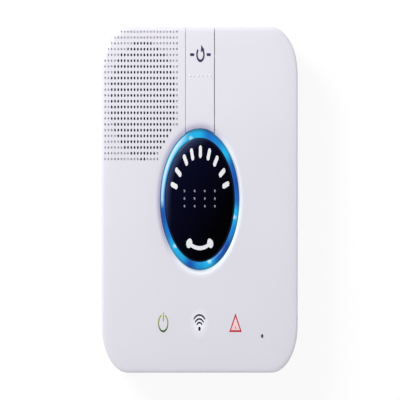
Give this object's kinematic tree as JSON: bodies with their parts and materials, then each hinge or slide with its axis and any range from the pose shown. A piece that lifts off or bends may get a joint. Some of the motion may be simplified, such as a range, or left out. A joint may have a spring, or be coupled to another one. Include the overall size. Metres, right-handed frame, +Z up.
{
  "type": "medical alert base station",
  "caption": "Slim oblong table-top alert console: oval emergency button in a lit ring, long hinged reset key, perforated speaker field, indicator windows, rear battery bay.",
  "frame": {"origin": "centre of the plane that the rubber feet stand on", "axes": "+Z up out of the face, +Y towards the end that holds the reset key, +X to the right as the face is read"},
  "size_m": [0.085, 0.15, 0.032],
  "materials": {
    "case_white": "fine-grained moulded ABS, satin",
    "key_white": "same ABS as the front cover",
    "ring_blue": "lit translucent light guide, glossy",
    "cap_navy": "polished dark cap",
    "inner_white": "unpainted ABS",
    "clear_guide": "clear light pipe",
    "lamp": "surface lamp",
    "steel": "zinc-plated",
    "black_plastic": "black moulded",
    "ivory_plastic": "natural nylon",
    "board": "solder-masked laminate",
    "radio_board": "blue laminate",
    "flex": "printed antenna laminate",
    "rubber": "matt rubber",
    "foam": "closed-cell foam",
    "cone": "pressed paper",
    "magnet": "plated ferrite",
    "basket": "painted steel",
    "wrap": "heat-shrink wrap",
    "lead_red": "insulated lead",
    "lead_black": "insulated lead"
  },
  "bodies": {
    "housing": {"front_cover": "case_white", "rear_cover": "case_white", "battery_door": "case_white", "rubber_feet": "rubber", "case_screws": "steel", "door_screw": "steel", "light_ring": "ring_blue", "button_housing": "inner_white", "housing_screws": "steel", "button_springs": "steel", "button_switch": "black_plastic", "ring_leds": "lamp", "reset_pin": "steel", "reset_spring": "steel", "reset_switch": "black_plastic", "main_pcb": "board", "pcb_screws": "steel", "indicator_light_pipe": "clear_guide", "indicator_leds": "lamp", "microphone": "steel", "microphone_boot": "rubber", "cell_module": "steel", "processor_shield": "steel", "radio_module": "radio_board", "cell_antenna": "flex", "antenna_cable": "lead_black", "speaker_gasket": "foam", "speaker_frame": "basket", "speaker_magnet": "magnet", "speaker_cone": "cone", "speaker_socket": "ivory_plastic", "speaker_lead": "lead_red", "battery_pack": "wrap", "battery_socket": "ivory_plastic", "battery_lead": "lead_red", "power_jack": "black_plastic", "power_switch": "steel"},
    "button": {"emergency_button": "cap_navy", "button_carrier": "inner_white", "button_switch_stem": "ivory_plastic"},
    "reset": {"reset_key": "key_white", "reset_switch_stem": "ivory_plastic"},
    "knob": {"power_switch_knob": "black_plastic"}
  },
  "joints": [
    {"name": "emergency_press", "type": "slide", "parent": "housing", "child": "button", "axis": [0, 0, -1], "range_m": [0, 0.0008], "stiffness_N_per_m": 1500, "springref_m": -0.0015, "deforming": ["button_springs"]},
    {"name": "reset_press", "type": "hinge", "parent": "housing", "child": "reset", "pos_m": [0, 0.0345, 0.0269], "axis": [-1, 0, 0], "range_deg": [0, 1.2], "stiffness_Nm_per_rad": 0.6, "springref_deg": -2.29, "deforming": ["reset_spring"]},
    {"name": "power_slide", "type": "slide", "parent": "housing", "child": "knob", "axis": [0, 1, 0], "range_m": [0, 0.002]}
  ]
}
